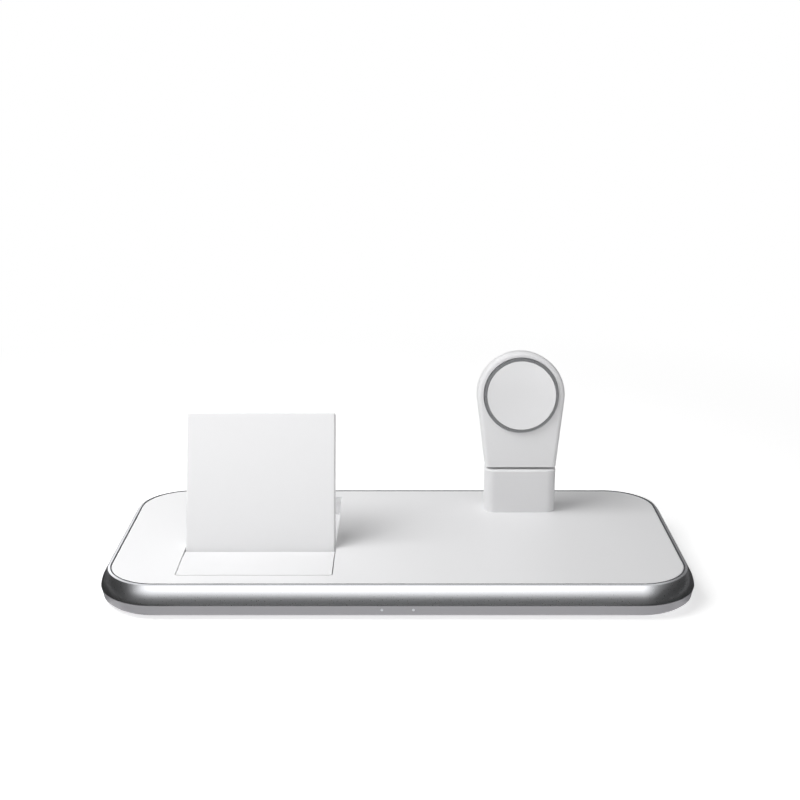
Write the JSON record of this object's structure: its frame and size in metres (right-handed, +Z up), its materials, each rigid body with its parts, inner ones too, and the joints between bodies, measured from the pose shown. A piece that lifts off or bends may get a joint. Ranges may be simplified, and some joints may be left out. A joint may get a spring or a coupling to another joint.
{
  "type": "four in one wireless charging stand",
  "caption": "Low rounded charging base with an aluminium rim, a flip-up back-rest behind a crowned lip, a flat dock and a puck on an upright arm.",
  "frame": {"origin": "on the surface it stands on, below the middle of the base", "axes": "+X to the right across the front, +Y from the front to the back, +Z up"},
  "size_m": [0.2048, 0.097, 0.0722],
  "materials": {
    "anodised_aluminium": "bead blasted and anodised, satin",
    "white_soft_touch": "soft-touch paint, matte",
    "white_abs": "moulded, satin",
    "white_polycarbonate": "moulded, polished",
    "grey_abs": "moulded, fine spark texture",
    "silicone_rubber": "moulded, matte",
    "plated_steel": "nickel plated",
    "copper_winding": "enamelled stranded wire",
    "sintered_ferrite": "sintered, matte",
    "glass_epoxy_board": "solder mask",
    "black_moulding": "moulded, matte",
    "clear_acrylic": "polished"
  },
  "bodies": {
    "base": {"aluminium_frame": "anodised_aluminium", "top_panel": "white_soft_touch", "bottom_shell": "grey_abs", "rubber_feet": "silicone_rubber", "case_screws": "plated_steel", "stand_well": "white_abs", "stand_lip": "white_soft_touch", "hinge_pins": "plated_steel", "dock_coil": "copper_winding", "dock_ferrite": "sintered_ferrite", "dock_coil_holder": "grey_abs", "ballast_plate": "plated_steel", "arm_bracket": "plated_steel", "bracket_screws": "plated_steel", "arm_pedestal": "white_abs", "arm_head_front": "white_abs", "arm_head_back": "white_abs", "puck_cup": "anodised_aluminium", "puck_face": "white_polycarbonate", "puck_coil": "copper_winding", "puck_magnet": "plated_steel", "puck_ferrite": "sintered_ferrite", "main_board": "glass_epoxy_board", "board_chips": "black_moulding", "board_inductors": "sintered_ferrite", "status_emitters": "clear_acrylic", "status_light_pipes": "clear_acrylic", "inlet_shell": "plated_steel", "inlet_tongue": "black_moulding", "output_shell": "plated_steel", "output_tongue": "black_moulding"},
    "stand": {"stand_front_shell": "white_soft_touch", "stand_rear_cover": "white_abs", "cover_screws": "plated_steel", "stand_coil": "copper_winding", "stand_ferrite": "sintered_ferrite", "friction_sleeves": "plated_steel"}
  },
  "joints": [
    {"name": "stand_fold", "type": "hinge", "parent": "base", "child": "stand", "pos_m": [-0.04875, -0.0132, 0.0085], "axis": [-1, 0, 0], "range_deg": [0, 70]}
  ]
}
